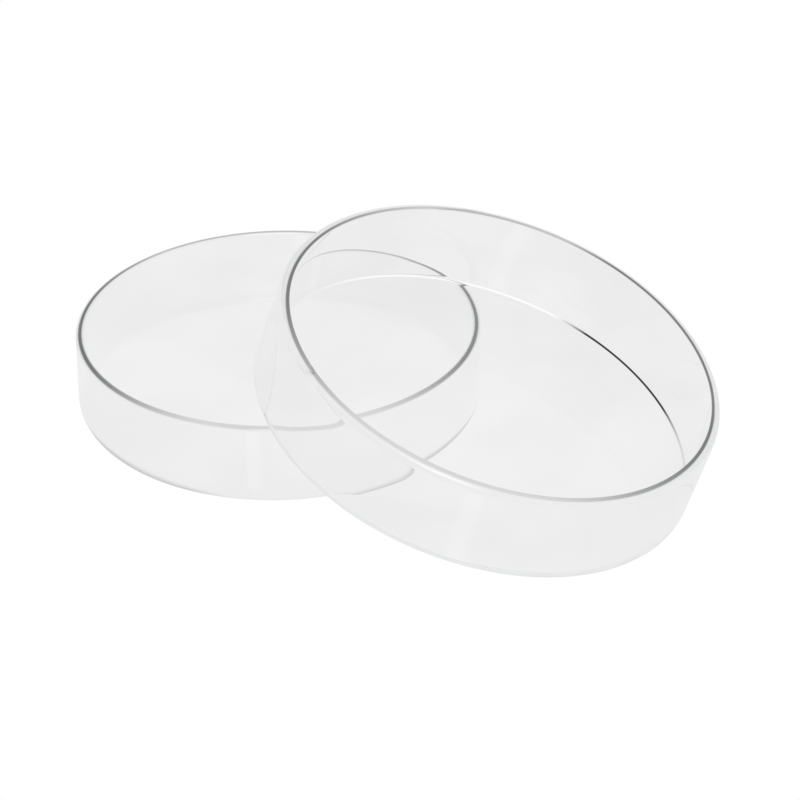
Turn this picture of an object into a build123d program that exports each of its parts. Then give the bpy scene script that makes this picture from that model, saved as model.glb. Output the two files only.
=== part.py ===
from build123d import *
import os
from math import cos, radians, sin, sqrt

# A glass petri dish: a round flat-bottomed dish and its wider lid, each in one piece of borosilicate glass.
# The dish stands on the table. The lid lies open side up, its floor on the dish's rim and its lowest edge on
# the table. Millimetres, +Z up, origin at the centre of the dish's underside.

# Dish
dish_radius = 45.0          # outside of the wall, for a 90 mm dish
dish_height = 20.0
dish_wall = 1.5             # at the foot of the wall
dish_rim = 1.8              # the wall thickens evenly up to its rim
dish_shoulder = 1.1         # rounding of the rim's outer edge; the rest of the rim is its inner rounding
dish_floor = 1.5
dish_outer_corner = 4.5     # rounding from the underside into the wall
dish_inner_corner = 3.0     # rounding from the floor into the wall

# Lid, in its own frame: z = 0 is the plane of its lowest ring, and its open side is towards +z
lid_radius = 49.5
lid_height = 21.5
lid_wall = 1.3
lid_rim = 2.3
lid_shoulder = 1.9
lid_floor = 1.2
lid_outer_corner = 1.6
lid_inner_corner = 0.4
lid_floor_rise = 1.0        # the floor is pushed up into a shallow dome, so the lid bears on its outer ring

# How the lid lies on the dish
lid_tilt = 19.15            # degrees between the lid's floor and the table
lid_heading = -23.6         # degrees from +X, the direction in which the lid slopes down
lid_sideways = -16.6        # lid centre off the downhill line through the dish's centre, + to the left
rest_gap = 0.02             # air left between the lid and the rim that it rests on

# Each rim is two quarter rounds, which meet at its highest line: the shoulder outside and the lip inside
dish_inside = dish_radius - dish_wall
dish_lip = dish_rim - dish_shoulder
dish_crest = (dish_radius - dish_shoulder, dish_height)
dish_lip_end = (dish_radius - dish_rim, dish_height - dish_lip)
lid_inside = lid_radius - lid_wall
lid_lip = lid_rim - lid_shoulder
lid_crest = (lid_radius - lid_shoulder, lid_height)
lid_lip_end = (lid_radius - lid_rim, lid_height - lid_lip)
lid_ring = lid_radius - lid_outer_corner    # where the dome meets the rounded corner

# The dome is part of a sphere whose centre is far below the lid. The shoulder of the dish touches that sphere
# from inside, which sets how far downhill of the dish's axis the lid's centre lies.
tilt = radians(lid_tilt)
heading = radians(lid_heading)
dome_radius = (lid_ring**2 + lid_floor_rise**2) / (2 * lid_floor_rise)
dome_depth = dome_radius - lid_floor_rise
lid_base_height = lid_ring * sin(tilt) + lid_outer_corner * (1 - cos(tilt))
shoulder_above_dome_centre = dish_height - dish_shoulder - lid_base_height + dome_depth * cos(tilt)
touching_distance = dome_radius - dish_shoulder - rest_gap
shoulder_from_dome_axis = sqrt(touching_distance**2 - shoulder_above_dome_centre**2)
dome_axis_from_dish_axis = shoulder_from_dome_axis - (dish_radius - dish_shoulder)
lid_downhill = dome_depth * sin(tilt) - sqrt(dome_axis_from_dish_axis**2 - lid_sideways**2)

downhill = Vector(cos(heading), sin(heading), 0)
sideways = Vector(-sin(heading), cos(heading), 0)
lid_frame = Plane(
    origin=lid_downhill * downhill + lid_sideways * sideways + Vector(0, 0, lid_base_height),
    x_dir=cos(tilt) * downhill - Vector(0, 0, sin(tilt)),
    z_dir=sin(tilt) * downhill + Vector(0, 0, cos(tilt)),
)
lid_section_plane = Plane(lid_frame.origin, x_dir=lid_frame.x_dir, z_dir=-lid_frame.y_dir)

# The dish: half of its section, turned about the vertical axis
with BuildPart() as dish:
    with BuildSketch(Plane.XZ):
        with BuildLine():
            underside = Line((0, 0), (dish_radius - dish_outer_corner, 0))
            corner = TangentArc(underside @ 1, (dish_radius, dish_outer_corner), tangent=underside % 1)
            outside = Line(corner @ 1, (dish_radius, dish_height - dish_shoulder))
            shoulder = TangentArc(outside @ 1, dish_crest, tangent=outside % 1)
            lip = TangentArc(shoulder @ 1, dish_lip_end, tangent=shoulder % 1)
            inside = Line(lip @ 1, (dish_inside, dish_floor + dish_inner_corner))
            hollow = TangentArc(inside @ 1, (dish_inside - dish_inner_corner, dish_floor), tangent=(0, -1))
            floor = Line(hollow @ 1, (0, dish_floor))
            Line(floor @ 1, underside @ 0)
        make_face()
    revolve(axis=Axis.Z)

# The lid: the same section with a domed floor, turned about its own leaning axis
with BuildPart() as lid:
    with BuildSketch(lid_section_plane):
        with BuildLine():
            underside = TangentArc((0, lid_floor_rise), (lid_ring, 0), tangent=(1, 0))
            corner = TangentArc(underside @ 1, (lid_radius, lid_outer_corner), tangent=(1, 0))
            outside = Line(corner @ 1, (lid_radius, lid_height - lid_shoulder))
            shoulder = TangentArc(outside @ 1, lid_crest, tangent=outside % 1)
            lip = TangentArc(shoulder @ 1, lid_lip_end, tangent=shoulder % 1)
            inside = Line(lip @ 1, (lid_inside, lid_floor + lid_inner_corner))
            hollow = TangentArc(inside @ 1, (lid_inside - lid_inner_corner, lid_floor), tangent=(0, -1))
            floor = TangentArc((0, lid_floor + lid_floor_rise), hollow @ 1, tangent=(1, 0))
            Line(floor @ 0, underside @ 0)
        make_face()
    revolve(axis=Axis(lid_frame.origin, lid_frame.z_dir))

os.makedirs("parts", exist_ok=True)
dish.part.label = "dish"
export_step(dish.part, "parts/dish.step")
lid.part.label = "lid"
export_step(lid.part, "parts/lid.step")
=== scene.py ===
"""A glass petri dish with its lid leaning on it, shown on a white table in a white studio.

Much of the look of the edges is painted: the glass material holds light back or adds it on chosen lines of
each piece, by the direction of view. The rest comes from the shape and from refraction.
"""

from math import cos, pi, radians, sin, sqrt

import bmesh
import bpy
import numpy as np
from mathutils import Matrix, Vector


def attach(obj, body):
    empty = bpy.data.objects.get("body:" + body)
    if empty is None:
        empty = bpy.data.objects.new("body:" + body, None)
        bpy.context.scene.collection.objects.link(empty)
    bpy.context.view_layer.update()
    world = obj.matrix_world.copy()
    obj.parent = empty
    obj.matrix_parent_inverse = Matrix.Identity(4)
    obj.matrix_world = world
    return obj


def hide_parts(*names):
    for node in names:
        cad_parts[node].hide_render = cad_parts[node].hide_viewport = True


MM = 0.001

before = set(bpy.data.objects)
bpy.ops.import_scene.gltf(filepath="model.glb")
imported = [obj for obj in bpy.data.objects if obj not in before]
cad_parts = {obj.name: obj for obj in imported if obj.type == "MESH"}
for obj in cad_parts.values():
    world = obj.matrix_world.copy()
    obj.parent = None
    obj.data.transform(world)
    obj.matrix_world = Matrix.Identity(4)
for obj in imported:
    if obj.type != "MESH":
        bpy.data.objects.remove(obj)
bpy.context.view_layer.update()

# Glass thicknesses and roundings. The radii, heights and places are measured from the frame.
DISH = {
    "wall": 1.5 * MM,           # at the foot of the wall
    "rim": 1.8 * MM,            # the wall thickens evenly up to its rim
    "shoulder": 1.1 * MM,       # rounding of the rim's outer edge
    "floor": 1.5 * MM,
    "outer_corner": 4.5 * MM,
    "inner_corner": 3.0 * MM,
    "rise": 0.0,                # of the floor's dome
}
LID = {
    "wall": 1.3 * MM,
    "rim": 2.3 * MM,
    "shoulder": 1.9 * MM,
    "floor": 1.2 * MM,
    "outer_corner": 1.6 * MM,
    "inner_corner": 0.4 * MM,
    "rise": 1.0 * MM,
}

SEGMENTS = 720                  # steps round each piece
ARC_STEPS = 14                  # steps in each rounded corner
STRAIGHT_STEP = 4.0 * MM

# Borosilicate glass
GLASS_IOR = 1.474
DEPTH_TINT = (0.6, 0.9, 0.78, 1.0)
DEPTH_DENSITY = 0.6             # per metre of glass
POLISH_SCALE = 90.0
POLISH_DETAIL = 4.0
POLISH = (0.45, 0.75, 0.0, 0.02)    # noise from and to which the roughness rises, and the roughness there
WAVE_SCALE = 60.0
WAVE_DETAIL = 1.0
WAVE_HEIGHT = 0.02 * MM

# The painted shade and painted highlights, on lines of each piece. A darkness of 1 holds all light back.
DISH_PAINTED_LIGHT = {
    "inset": 1.05 * MM,         # of the rim's painted shade line, from the outside of the wall
    "far": 0.4,                 # darkness of the rim's painted shade line at the far right
    "foot": 0.65,               # darkness of the painted shade line round the foot of the wall
    "crease": 0.0,              # darkness of the painted shade in the crease between the floor and the wall
    "crease_light": 0.0,        # brightness of the painted highlight in the same crease
    "side": 0.05,               # painted shade of the wall at the sides
    "floor": 0.0,               # painted shade of the floor towards its edge
}
LID_PAINTED_LIGHT = {
    "inset": 2.05 * MM,
    "far": 0.95,
    "foot": 0.12,
    "crease": 1.0,
    "crease_light": 0.13,
    "side": 0.065,
    "floor": 0.06,
}

# Pairs below that name a part of the line of sight are the values between which an effect comes or goes. The
# parts are the ones that line_of_sight gives: along, outward and onto.
RIM_OUTWARD = (-0.5, 0.7)
RIM_SHIFT = (-0.1 * MM, 0.5 * MM)       # of the rim's line away from the axis, at the back and at the front
RIM_HALF_WIDTH = (0.496 * MM, 0.868 * MM)
RIM_CORE = 0.4                  # share of the half width that is fully dark
RIM_ALONG = (0.3, 0.86)
RIM_ALONG_DARKNESS = (0.38, 0.97)
RIM_FAR_RIGHT = (0.45, 0.76)    # measured halfway between along and outward
RIM_BACK_OUTWARD = (-0.8, -0.5)
RIM_BACK_DARKNESS = 0.65
FOOT_DEPTH = (0.8, 0.3)         # under the outer face, in wall thicknesses
FOOT_INNER_END = 0.1            # of the corner's radius, from where the corner starts
FOOT_TOP = 0.7                  # of the corner's radius, where the line starts to fade upwards
FOOT_ONTO = (0.2, 0.65)
FOOT_ALONG = (0.2, 0.45)
FOOT_END_ALONG = (0.8, 0.95)
CREASE_LINE = 0.34 * MM         # half the width
CREASE_CORE = 0.5
CREASE_ONTO = (0.35, 0.5)
DARK_CREASE_ALONG = (-0.26, -0.12)
DARK_CREASE_END_ALONG = (-0.76, -0.62)
DARK_CREASE_LEFT = 0.3          # share of the darkness that is left at that end
BRIGHT_CREASE_ALONG = (-0.2, -0.1)
BRIGHT_CREASE_END_ALONG = (0.55, 0.75)
WALL_SHADE = 0.028              # painted shade at the front and the back of the wall
WALL_ALONG = (0.3, 0.75)
WALL_REACH = (1.5 * MM, 0.2 * MM)       # inwards from the wall's inside
FLOOR_REACH = (0.5, 0.9)        # of the radius inside the wall
FLOOR_OUTWARD = (-0.75, -0.3)
FLOOR_FRONT = 0.4               # share of the floor's shade that is left at the front

CAMERA_DISTANCE = 1.0123
CAMERA_LENS = 202.5
CAMERA_SENSOR = 36.0
CAMERA_ELEVATION = 30.56        # degrees, as is the roll
CAMERA_ROLL = -0.77
AIM_RIGHT = 26.98 * MM          # from the dish's underside to the middle of the picture
AIM_UP = 0.5 * MM

TABLE_HALF = 6.0
TABLE_DROP = 0.05 * MM          # gap that keeps the table apart from the glass
PAPER_SEEN = 1.0                # brightness of the studio as the camera sees it directly
PAPER_BEHIND_GLASS = 0.87       # and as all other light meets it
PATCH_SCALE = 35.0
PATCH_DETAIL = 2.0
PATCH_NOISE = (0.35, 0.65)
PATCHES = 0.018                 # how much the paper's brightness varies behind the glass
DARK_ROOM = 0.6                 # brightness of the room behind the camera
ROOM_EDGES = (-0.5, -0.2)       # where the room's darkness starts and ends, as +Y parts of a direction
# Lamps that light nothing and are seen only as painted mirror images on outer faces: azimuth, elevation, half
# width, half height, softness and strength. The second gives the pale upright stripes on the walls.
LAMPS = ((177, 47, 0.22, 0.26, 0.3, 3.2), (194, -31, 0.06, 0.35, 0.5, 0.6))
LAMP_IN_CORNER = 0.2            # share of the lamps left in the rounding between the floor and the wall
LAMP_CORNER_REACH = 1.2         # of the rounding's radius, where all of them is left
LAMP_DEPTH = 3.5                # lamps are left out of light that has met the glass more often than this
BOUNCES = 400                   # enough for nearly all light to find its way out of a rim


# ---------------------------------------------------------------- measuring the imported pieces

def measure(name):
    """Base point, axis, radius and height of a round piece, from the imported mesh's own area moments."""
    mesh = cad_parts[name].data
    mesh.calc_loop_triangles()
    points = np.array([v.co[:] for v in mesh.vertices])
    triangles = points[np.array([t.vertices[:] for t in mesh.loop_triangles])]
    normals = np.cross(triangles[:, 1] - triangles[:, 0], triangles[:, 2] - triangles[:, 0])
    area = np.linalg.norm(normals, axis=1) / 2
    centre = (triangles.mean(1) * area[:, None]).sum(0) / area.sum()
    local = triangles - centre
    total = local.sum(1)
    spread = np.einsum("t,tij,tik->jk", area, local, local) + np.einsum("t,ti,tj->ij", area, total, total)
    moments, directions = np.linalg.eigh(spread)
    odd_one = np.argmax(np.abs(moments - np.median(moments)))
    axis = directions[:, odd_one] * np.sign(directions[2, odd_one])
    along = (points - centre) @ axis
    across = np.linalg.norm(points - centre - along[:, None] * axis, axis=1)
    return {
        "base": Vector(centre + along.min() * axis),
        "axis": Vector(axis),
        "radius": float(across.max()),
        "height": float(along.max() - along.min()),
    }


# ---------------------------------------------------------------- shapes

def arc(centre, radius, start, end):
    """Points of a round stretch of an outline, from one angle in degrees to another, ends included."""
    angles = [radians(start + (end - start) * i / ARC_STEPS) for i in range(ARC_STEPS + 1)]
    return [(centre[0] + radius * cos(a), centre[1] + radius * sin(a)) for a in angles]


def straight(start, end):
    """Evenly spaced points between two points of an outline, ends left out."""
    across, up = end[0] - start[0], end[1] - start[1]
    steps = max(2, round(sqrt(across**2 + up**2) / STRAIGHT_STEP))
    return [(start[0] + across * i / steps, start[1] + up * i / steps) for i in range(1, steps)]


def dome(height, rise, reach):
    """Points of a floor from the axis out to the reach, risen by a shallow dome in the middle."""
    steps = round(reach / STRAIGHT_STEP)
    return [(reach * i / steps, height + rise * (1 - (i / steps) ** 2)) for i in range(steps + 1)]


def section(radius, height, wall, rim, shoulder, floor, outer_corner, inner_corner, rise):
    """Half the section of a piece: (radius, height) points from the underside's centre to the floor's."""
    inside = radius - wall
    lip = rim - shoulder
    under = dome(0, rise, radius - outer_corner)[:-1]
    corner = arc((radius - outer_corner, outer_corner), outer_corner, -90, 0)
    top = arc((radius - shoulder, height - shoulder), shoulder, 0, 90)
    top += arc((radius - shoulder, height - lip), lip, 90, 180)[1:]
    hollow = arc((inside - inner_corner, floor + inner_corner), inner_corner, 0, -90)
    over = dome(floor, rise, inside - inner_corner)[:-1][::-1]
    return under + corner + straight(corner[-1], top[0]) + top + straight(top[-1], hollow[0]) + hollow + over


def keep(mesh, name, values):
    """Stores one vector for each vertex, for the material to read."""
    kept = mesh.attributes.new(name, "FLOAT_VECTOR", "POINT")
    kept.data.foreach_set("vector", [part for value in values for part in value])


def lathe(name, outline, placement):
    """A closed smooth mesh made by turning an outline, which starts and ends on the axis."""
    shape = bmesh.new()
    first = shape.verts.new((0, 0, outline[0][1]))
    last = shape.verts.new((0, 0, outline[-1][1]))
    profile = [(0, outline[0][1], 0), (0, outline[-1][1], 0)]
    around = [(0, 0, 0), (0, 0, 0)]
    rings = []
    turn = [2 * pi * i / SEGMENTS for i in range(SEGMENTS)]
    for radius, height in outline[1:-1]:
        rings.append([shape.verts.new((radius * cos(t), radius * sin(t), height)) for t in turn])
        profile += [(radius, height, 0)] * SEGMENTS
        around += [(-sin(t), cos(t), 0) for t in turn]
    for i in range(SEGMENTS):
        j = (i + 1) % SEGMENTS
        shape.faces.new((first, rings[0][j], rings[0][i]))
        for low, high in zip(rings, rings[1:]):
            shape.faces.new((low[i], low[j], high[j], high[i]))
        shape.faces.new((rings[-1][i], rings[-1][j], last))
    for face in shape.faces:
        face.smooth = True
    shape.transform(placement)
    mesh = bpy.data.meshes.new(name)
    shape.to_mesh(mesh)
    shape.free()
    spin = placement.to_3x3()
    keep(mesh, "profile", profile)
    keep(mesh, "around", [spin @ Vector(way) for way in around])
    piece = bpy.data.objects.new(name, mesh)
    bpy.context.scene.collection.objects.link(piece)
    return piece


def upright(base, axis):
    """The placement that puts a piece turned about +Z on its base point and along its axis."""
    return Matrix.Translation(base) @ Vector((0, 0, 1)).rotation_difference(axis).to_matrix().to_4x4()


def glass_piece(name, sizes, lines):
    """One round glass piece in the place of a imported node."""
    found = measure(name)
    outline = section(found["radius"], found["height"], **sizes)
    piece = lathe(name + "_glass", outline, upright(found["base"], found["axis"]))
    piece.data.materials.append(glass(name + "_glass", found, sizes, lines))
    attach(piece, name)
    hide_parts(name)


# ---------------------------------------------------------------- node helpers

def node(tree, kind, **settings):
    made = tree.nodes.new(kind)
    for key, value in settings.items():
        setattr(made, key, value)
    return made


def feed(tree, target, value):
    """Sets a socket to a plain value or links it to another socket."""
    if isinstance(value, bpy.types.NodeSocket):
        tree.links.new(value, target)
    else:
        target.default_value = value


def fed(tree, made, values):
    for target, value in zip(made.inputs, values):
        feed(tree, target, value)
    return made


def maths(tree, operation, *values):
    return fed(tree, node(tree, "ShaderNodeMath", operation=operation), values).outputs[0]


def vector_maths(tree, operation, *values):
    return fed(tree, node(tree, "ShaderNodeVectorMath", operation=operation), values).outputs


def dot(tree, socket, direction):
    return vector_maths(tree, "DOT_PRODUCT", socket, direction)["Value"]


def ramp(tree, value, low, high, at_low, at_high):
    """A smooth change from one value to another as the input goes from low to high."""
    made = node(tree, "ShaderNodeMapRange", interpolation_type="SMOOTHSTEP")
    return fed(tree, made, (value, low, high, at_low, at_high)).outputs[0]


def blend(tree, factor, at_zero, at_one):
    made = node(tree, "ShaderNodeMix", data_type="FLOAT")
    feed(tree, made.inputs["Factor"], factor)
    feed(tree, made.inputs["A"], at_zero)
    feed(tree, made.inputs["B"], at_one)
    return made.outputs["Result"]


def product(tree, first, *others):
    for other in others:
        first = maths(tree, "MULTIPLY", first, other)
    return first


def absolute(tree, value):
    return maths(tree, "ABSOLUTE", value)


def noise(tree, place, scale, detail):
    made = node(tree, "ShaderNodeTexNoise")
    feed(tree, made.inputs["Vector"], place)
    made.inputs["Scale"].default_value = scale
    made.inputs["Detail"].default_value = detail
    return made.outputs["Fac"]


def stored(tree, name):
    return node(tree, "ShaderNodeAttribute", attribute_name=name).outputs["Vector"]


def section_point(tree, radius, height):
    made = node(tree, "ShaderNodeCombineXYZ")
    feed(tree, made.inputs["X"], radius)
    feed(tree, made.inputs["Y"], height)
    return made.outputs[0]


def section_place(tree):
    """The radius and the height of this place on its section."""
    place = node(tree, "ShaderNodeSeparateXYZ")
    feed(tree, place.inputs[0], stored(tree, "profile"))
    return place.outputs["X"], place.outputs["Y"]


def away_from(tree, point):
    """How far this place of the section is from a point of the section."""
    return vector_maths(tree, "DISTANCE", stored(tree, "profile"), point)["Value"]


# ---------------------------------------------------------------- glass

def sight(tree):
    """The direction from a place on the glass back along the line of sight."""
    return node(tree, "ShaderNodeNewGeometry").outputs["Incoming"]


def line_of_sight(tree, axis):
    """How the line of sight meets the glass: its part along the ring (+ to the left), its part outward from
    the axis (+ at the front), its part onto the surface, and 1 where it comes from outside the glass."""
    seen = node(tree, "ShaderNodeNewGeometry")
    along = dot(tree, sight(tree), stored(tree, "around"))
    outward = vector_maths(tree, "CROSS_PRODUCT", stored(tree, "around"), axis)["Vector"]
    outward = dot(tree, sight(tree), outward)
    onto = dot(tree, sight(tree), seen.outputs["Normal"])
    return along, outward, onto, maths(tree, "SUBTRACT", 1.0, seen.outputs["Backfacing"])


def painted_rim_shade(tree, found, lines, along, outward):
    """Painted shade on the rim. Its line is wide and lies further out at the front, narrow at the back."""
    inner = found["radius"] - lines["inset"]
    middle = ramp(tree, outward, *RIM_OUTWARD, *(inner + shift for shift in RIM_SHIFT))
    half = ramp(tree, outward, *RIM_OUTWARD, *RIM_HALF_WIDTH)
    away = away_from(tree, section_point(tree, middle, found["height"]))
    on_line = ramp(tree, maths(tree, "DIVIDE", away, half), RIM_CORE, 1.0, 1, 0)
    sides = ramp(tree, absolute(tree, along), *RIM_ALONG, *RIM_ALONG_DARKNESS)
    far_right = maths(tree, "MULTIPLY", -sqrt(0.5), maths(tree, "ADD", along, outward))
    far = ramp(tree, far_right, *RIM_FAR_RIGHT, 0, lines["far"])
    back = ramp(tree, outward, *RIM_BACK_OUTWARD, RIM_BACK_DARKNESS, 0)
    return product(tree, on_line, maths(tree, "MAXIMUM", sides, maths(tree, "MAXIMUM", far, back)))


def painted_foot_shade(tree, found, sizes, lines, along, onto):
    """Painted shade where the rounding under the wall turns away from the eye."""
    corner = sizes["outer_corner"]
    middle = found["radius"] - corner
    radius, height = section_place(tree)
    away = away_from(tree, (middle, corner, 0))
    outside = ramp(tree, away, *(corner - depth * sizes["wall"] for depth in FOOT_DEPTH), 0, 1)
    rounded = ramp(tree, radius, middle, middle + FOOT_INNER_END * corner, 0, 1)
    low = ramp(tree, height, FOOT_TOP * corner, corner, 1, 0)
    turned = ramp(tree, absolute(tree, onto), *FOOT_ONTO, 1, 0)
    begins = ramp(tree, absolute(tree, along), *FOOT_ALONG, 0, 1)
    ends = ramp(tree, absolute(tree, along), *FOOT_END_ALONG, 1, 0)
    return product(tree, outside, rounded, low, turned, begins, ends, lines["foot"])


def crease_away(tree, found, sizes):
    """Distance on the section from the middle of the rounding between the floor and the wall."""
    inset = sizes["inner_corner"] * (1 - sqrt(0.5))
    return away_from(tree, (found["radius"] - sizes["wall"] - inset, sizes["floor"] + inset, 0))


def crease(tree, found, sizes, onto):
    """Mask of the crease's painted shade and highlight: 1 in the crease between the floor and the wall, where
    it is seen squarely.
    """
    on_line = ramp(tree, crease_away(tree, found, sizes), CREASE_CORE * CREASE_LINE, CREASE_LINE, 1, 0)
    return maths(tree, "MULTIPLY", on_line, ramp(tree, onto, *CREASE_ONTO, 0, 1))


def painted_crease_shade(tree, found, sizes, lines, along, onto):
    """Painted shade in the crease, on its right."""
    begins = ramp(tree, along, *DARK_CREASE_ALONG, 1, 0)
    fades = ramp(tree, along, *DARK_CREASE_END_ALONG, DARK_CREASE_LEFT, 1)
    return product(tree, crease(tree, found, sizes, onto), begins, fades, lines["crease"])


def painted_crease_highlight(tree, found, sizes, lines, along, onto):
    """Painted highlight in the crease, left of the painted shade."""
    begins = ramp(tree, along, *BRIGHT_CREASE_ALONG, 0, 1)
    ends = ramp(tree, along, *BRIGHT_CREASE_END_ALONG, 1, 0)
    return product(tree, crease(tree, found, sizes, onto), lines["crease_light"], begins, ends)


def body_shade(tree, found, sizes, lines, along, outward):
    """Painted shade in the walls, most at the sides, and towards the edge of the floor."""
    inside = found["radius"] - sizes["wall"]
    radius, _ = section_place(tree)
    on_wall = ramp(tree, radius, *(inside - reach for reach in WALL_REACH), 0, 1)
    wall = ramp(tree, absolute(tree, along), *WALL_ALONG, WALL_SHADE, lines["side"])
    edge = ramp(tree, radius, *(reach * inside for reach in FLOOR_REACH), 0, lines["floor"])
    floor = maths(tree, "MULTIPLY", edge, ramp(tree, outward, *FLOOR_OUTWARD, 1, FLOOR_FRONT))
    return blend(tree, on_wall, floor, wall)


def painted_shade_colour(tree, found, sizes, lines):
    """White, darkened by all the painted shade, where the line of sight meets the glass from outside."""
    along, outward, onto, outside = line_of_sight(tree, found["axis"])
    shade = 1.0
    for held in (
        painted_rim_shade(tree, found, lines, along, outward),
        painted_foot_shade(tree, found, sizes, lines, along, onto),
        painted_crease_shade(tree, found, sizes, lines, along, onto),
        body_shade(tree, found, sizes, lines, along, outward),
    ):
        shade = maths(tree, "MULTIPLY", shade, maths(tree, "SUBTRACT", 1.0, product(tree, held, outside)))
    colour = node(tree, "ShaderNodeCombineColor")
    return fed(tree, colour, (shade, shade, shade)).outputs[0]


def painted_lamp_reflections(tree, normal):
    """The lamps' painted reflections: their mirror images as the surface would show them."""
    backwards = vector_maths(tree, "SUBTRACT", (0, 0, 0), sight(tree))[0]
    mirrored = vector_maths(tree, "REFLECT", backwards, normal)[0]
    share = node(tree, "ShaderNodeFresnel")
    share.inputs["IOR"].default_value = GLASS_IOR
    feed(tree, share.inputs["Normal"], normal)
    lamps = 0.0
    for lamp in LAMPS:
        lamps = maths(tree, "ADD", lamps, softbox(tree, mirrored, *lamp))
    return maths(tree, "MULTIPLY", lamps, share.outputs[0])


def painted_highlights(tree, normal, found, sizes, lines):
    """Painted highlights, as emission on the outer faces: the lamps' mirror images and the crease's bright
    part.
    """
    along, _, onto, outside = line_of_sight(tree, found["axis"])
    corner = sizes["inner_corner"]
    reach = LAMP_CORNER_REACH * corner
    in_sight_of_lamps = ramp(tree, crease_away(tree, found, sizes), corner, reach, LAMP_IN_CORNER, 1)
    image = maths(tree, "MULTIPLY", painted_lamp_reflections(tree, normal), in_sight_of_lamps)
    caught = painted_crease_highlight(tree, found, sizes, lines, along, onto)
    fresh = maths(tree, "LESS_THAN", node(tree, "ShaderNodeLightPath").outputs["Ray Depth"], LAMP_DEPTH)
    return product(tree, maths(tree, "ADD", image, caught), fresh, outside)


def glass(name, found, sizes, lines):
    """Clear glass with slight waves, uneven polish, a faint green depth and its piece's painted shade and
    highlights.
    """
    material = bpy.data.materials.new(name)
    material.use_nodes = True
    tree = material.node_tree
    shader = tree.nodes["Principled BSDF"]
    shader.inputs["Transmission Weight"].default_value = 1.0
    shader.inputs["IOR"].default_value = GLASS_IOR
    # Base Color carries the painted shade.
    feed(tree, shader.inputs["Base Color"], painted_shade_colour(tree, found, sizes, lines))
    place = node(tree, "ShaderNodeTexCoord").outputs["Object"]
    polish = noise(tree, place, POLISH_SCALE, POLISH_DETAIL)
    feed(tree, shader.inputs["Roughness"], ramp(tree, polish, *POLISH))
    waves = node(tree, "ShaderNodeBump")
    waves.inputs["Strength"].default_value = 1.0
    waves.inputs["Distance"].default_value = WAVE_HEIGHT
    feed(tree, waves.inputs["Height"], noise(tree, place, WAVE_SCALE, WAVE_DETAIL))
    feed(tree, shader.inputs["Normal"], waves.outputs[0])
    # Emission carries the painted highlights.
    feed(tree, shader.inputs["Emission Strength"], painted_highlights(tree, waves.outputs[0], found, sizes, lines))
    shader.inputs["Emission Color"].default_value = (1, 1, 1, 1)
    soak = node(tree, "ShaderNodeVolumeAbsorption")
    soak.inputs["Color"].default_value = DEPTH_TINT
    soak.inputs["Density"].default_value = DEPTH_DENSITY
    tree.links.new(soak.outputs[0], tree.nodes["Material Output"].inputs["Volume"])
    return material


# ---------------------------------------------------------------- studio

def paper():
    """Glowing white paper, which takes no shadow and is darker and a little uneven as seen through glass."""
    material = bpy.data.materials.new("paper")
    material.use_nodes = True
    tree = material.node_tree
    tree.nodes.clear()
    place = node(tree, "ShaderNodeNewGeometry").outputs["Position"]
    patches = noise(tree, place, PATCH_SCALE, PATCH_DETAIL)
    uneven = ramp(tree, patches, *PATCH_NOISE, 1 - PATCHES, 1 + PATCHES)
    behind = maths(tree, "MULTIPLY", uneven, PAPER_BEHIND_GLASS)
    glow = node(tree, "ShaderNodeEmission")
    camera_ray = node(tree, "ShaderNodeLightPath").outputs["Is Camera Ray"]
    feed(tree, glow.inputs["Strength"], blend(tree, camera_ray, behind, PAPER_SEEN))
    out = node(tree, "ShaderNodeOutputMaterial")
    tree.links.new(glow.outputs[0], out.inputs["Surface"])
    return material


def direction(azimuth, elevation):
    """Unit vector towards a point of the studio: azimuth 0 is behind the dish, 90 is to its right."""
    a, e = radians(azimuth), radians(elevation)
    return Vector((sin(a) * cos(e), cos(a) * cos(e), sin(e)))


def softbox(tree, way, azimuth, elevation, half_width, half_height, softness, strength):
    """The light of a soft-edged rectangular lamp, as seen along a direction."""
    middle = direction(azimuth, elevation)
    right = middle.cross(Vector((0, 0, 1))).normalized()
    up = right.cross(middle)
    ahead = dot(tree, way, middle)
    light = maths(tree, "MULTIPLY", maths(tree, "GREATER_THAN", ahead, 0), strength)
    for side, half in ((right, half_width), (up, half_height)):
        off = absolute(tree, maths(tree, "DIVIDE", dot(tree, way, side), ahead))
        edge = ramp(tree, off, half * (1 - softness), half * (1 + softness), 1, 0)
        light = maths(tree, "MULTIPLY", light, edge)
    return light


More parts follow.
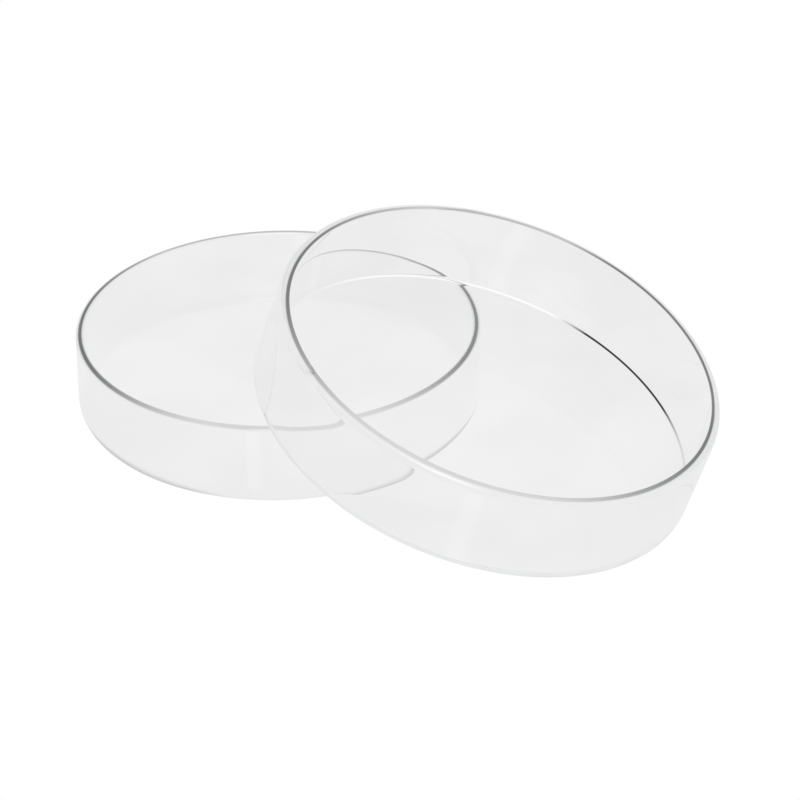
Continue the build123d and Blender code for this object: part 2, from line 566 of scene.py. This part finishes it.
def studio():
    """A white studio with a darker room behind the camera, which only the glass can show."""
    world = bpy.data.worlds.new("studio")
    bpy.context.scene.world = world
    world.use_nodes = True
    tree = world.node_tree
    tree.nodes.clear()
    sky = node(tree, "ShaderNodeTexCoord").outputs["Generated"]
    path = node(tree, "ShaderNodeLightPath")
    room = ramp(tree, dot(tree, sky, (0, 1, 0)), *ROOM_EDGES, DARK_ROOM, PAPER_BEHIND_GLASS)
    glow = node(tree, "ShaderNodeBackground")
    glow.inputs["Color"].default_value = (1, 1, 1, 1)
    feed(tree, glow.inputs["Strength"], blend(tree, path.outputs["Is Camera Ray"], room, PAPER_SEEN))
    out = node(tree, "ShaderNodeOutputWorld")
    tree.links.new(glow.outputs[0], out.inputs["Surface"])


def table():
    """The stage: one large square under the glass."""
    sides = ((-1, -1), (1, -1), (1, 1), (-1, 1))
    corners = [(TABLE_HALF * x, TABLE_HALF * y, -TABLE_DROP) for x, y in sides]
    mesh = bpy.data.meshes.new("table")
    mesh.from_pydata(corners, [], [(0, 1, 2, 3)])
    mesh.materials.append(paper())
    top = bpy.data.objects.new("table", mesh)
    bpy.context.scene.collection.objects.link(top)


def camera():
    """A long lens in front of the glass and well above it, aimed to the right of the dish."""
    elevation = radians(CAMERA_ELEVATION)
    ahead = Vector((0, cos(elevation), -sin(elevation)))
    right = Matrix.Rotation(radians(-CAMERA_ROLL), 3, ahead) @ Vector((1, 0, 0))
    up = right.cross(ahead)
    aim = AIM_RIGHT * right + AIM_UP * up
    lens = bpy.data.cameras.new("camera")
    lens.lens = CAMERA_LENS
    lens.sensor_width = CAMERA_SENSOR
    shot = bpy.data.objects.new("camera", lens)
    turn = Matrix((right, up, -ahead)).transposed().to_4x4()
    shot.matrix_world = Matrix.Translation(aim - CAMERA_DISTANCE * ahead) @ turn
    bpy.context.scene.collection.objects.link(shot)
    bpy.context.scene.camera = shot


def light_paths():
    """Lets light bounce inside the glass until it finds its way out, and shows white paper as white."""
    scene = bpy.context.scene
    scene.view_settings.view_transform = "Standard"
    scene.cycles.max_bounces = BOUNCES
    scene.cycles.min_light_bounces = BOUNCES
    scene.cycles.transmission_bounces = BOUNCES
    scene.cycles.glossy_bounces = BOUNCES


glass_piece("dish", DISH, DISH_PAINTED_LIGHT)
glass_piece("lid", LID, LID_PAINTED_LIGHT)
table()
studio()
camera()
light_paths()
